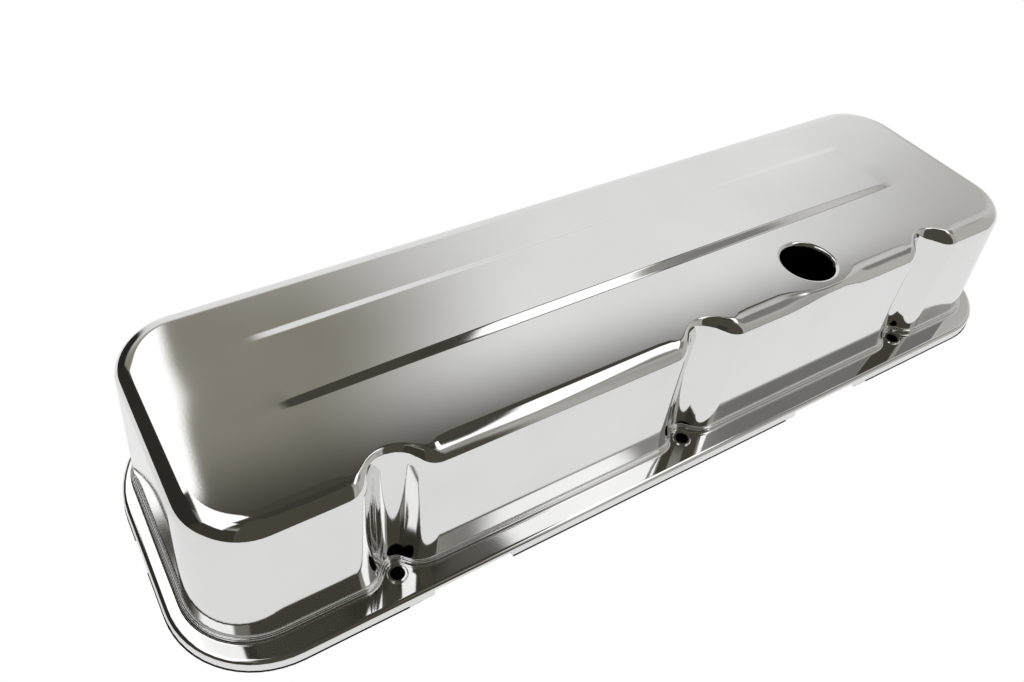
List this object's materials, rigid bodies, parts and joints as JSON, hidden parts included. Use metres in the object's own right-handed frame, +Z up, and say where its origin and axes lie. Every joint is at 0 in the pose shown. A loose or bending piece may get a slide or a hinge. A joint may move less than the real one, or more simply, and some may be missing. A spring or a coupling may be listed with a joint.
{
  "type": "engine valve cover",
  "caption": "Tall chrome-plated pressed steel engine valve cover with bolt recesses, a flanged sealing lip, a raised top panel and a round breather hole.",
  "frame": {"origin": "middle of the sealing lip, at the lip's lowest edge, where the cover meets the cylinder head", "axes": "+X along the length, towards the breather hole's end; +Z up through the closed top; -Y is the side with the breather hole and the shorter row of bolts"},
  "size_m": [0.525, 0.16, 0.0855],
  "materials": {
    "chrome_plate": "mirror polished chrome plate on pressed steel"
  },
  "bodies": {
    "root": {"cover_shell": "chrome_plate"}
  },
  "joints": []
}
